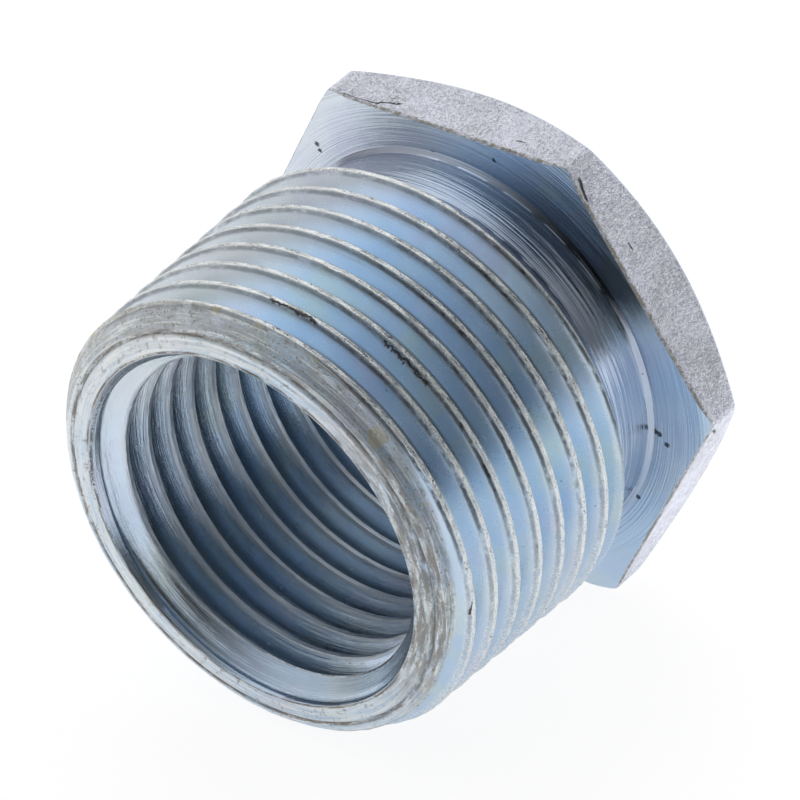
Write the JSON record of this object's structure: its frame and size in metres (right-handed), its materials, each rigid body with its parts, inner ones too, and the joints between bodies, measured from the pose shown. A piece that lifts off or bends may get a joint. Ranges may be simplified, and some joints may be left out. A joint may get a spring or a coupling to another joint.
{
  "type": "hex bushing",
  "caption": "Hexagon-flanged reducing bushing for pipework, with a tapered pipe thread outside and a parallel pipe thread through its bore.",
  "frame": {"origin": "on the bushing's axis, in the plane of the flange's front face, the one the threaded shank stands on", "axes": "+X along the axis towards the threaded nose; +Y through a corner of the hexagon; +Z square to a flat of the hexagon"},
  "size_m": [0.0229, 0.0312, 0.027],
  "materials": {
    "zinc_plate": "bright zinc plate over turned steel, dull on the hexagon and rubbed along the thread crests"
  },
  "bodies": {
    "root": {"bushing": "zinc_plate"}
  },
  "joints": []
}
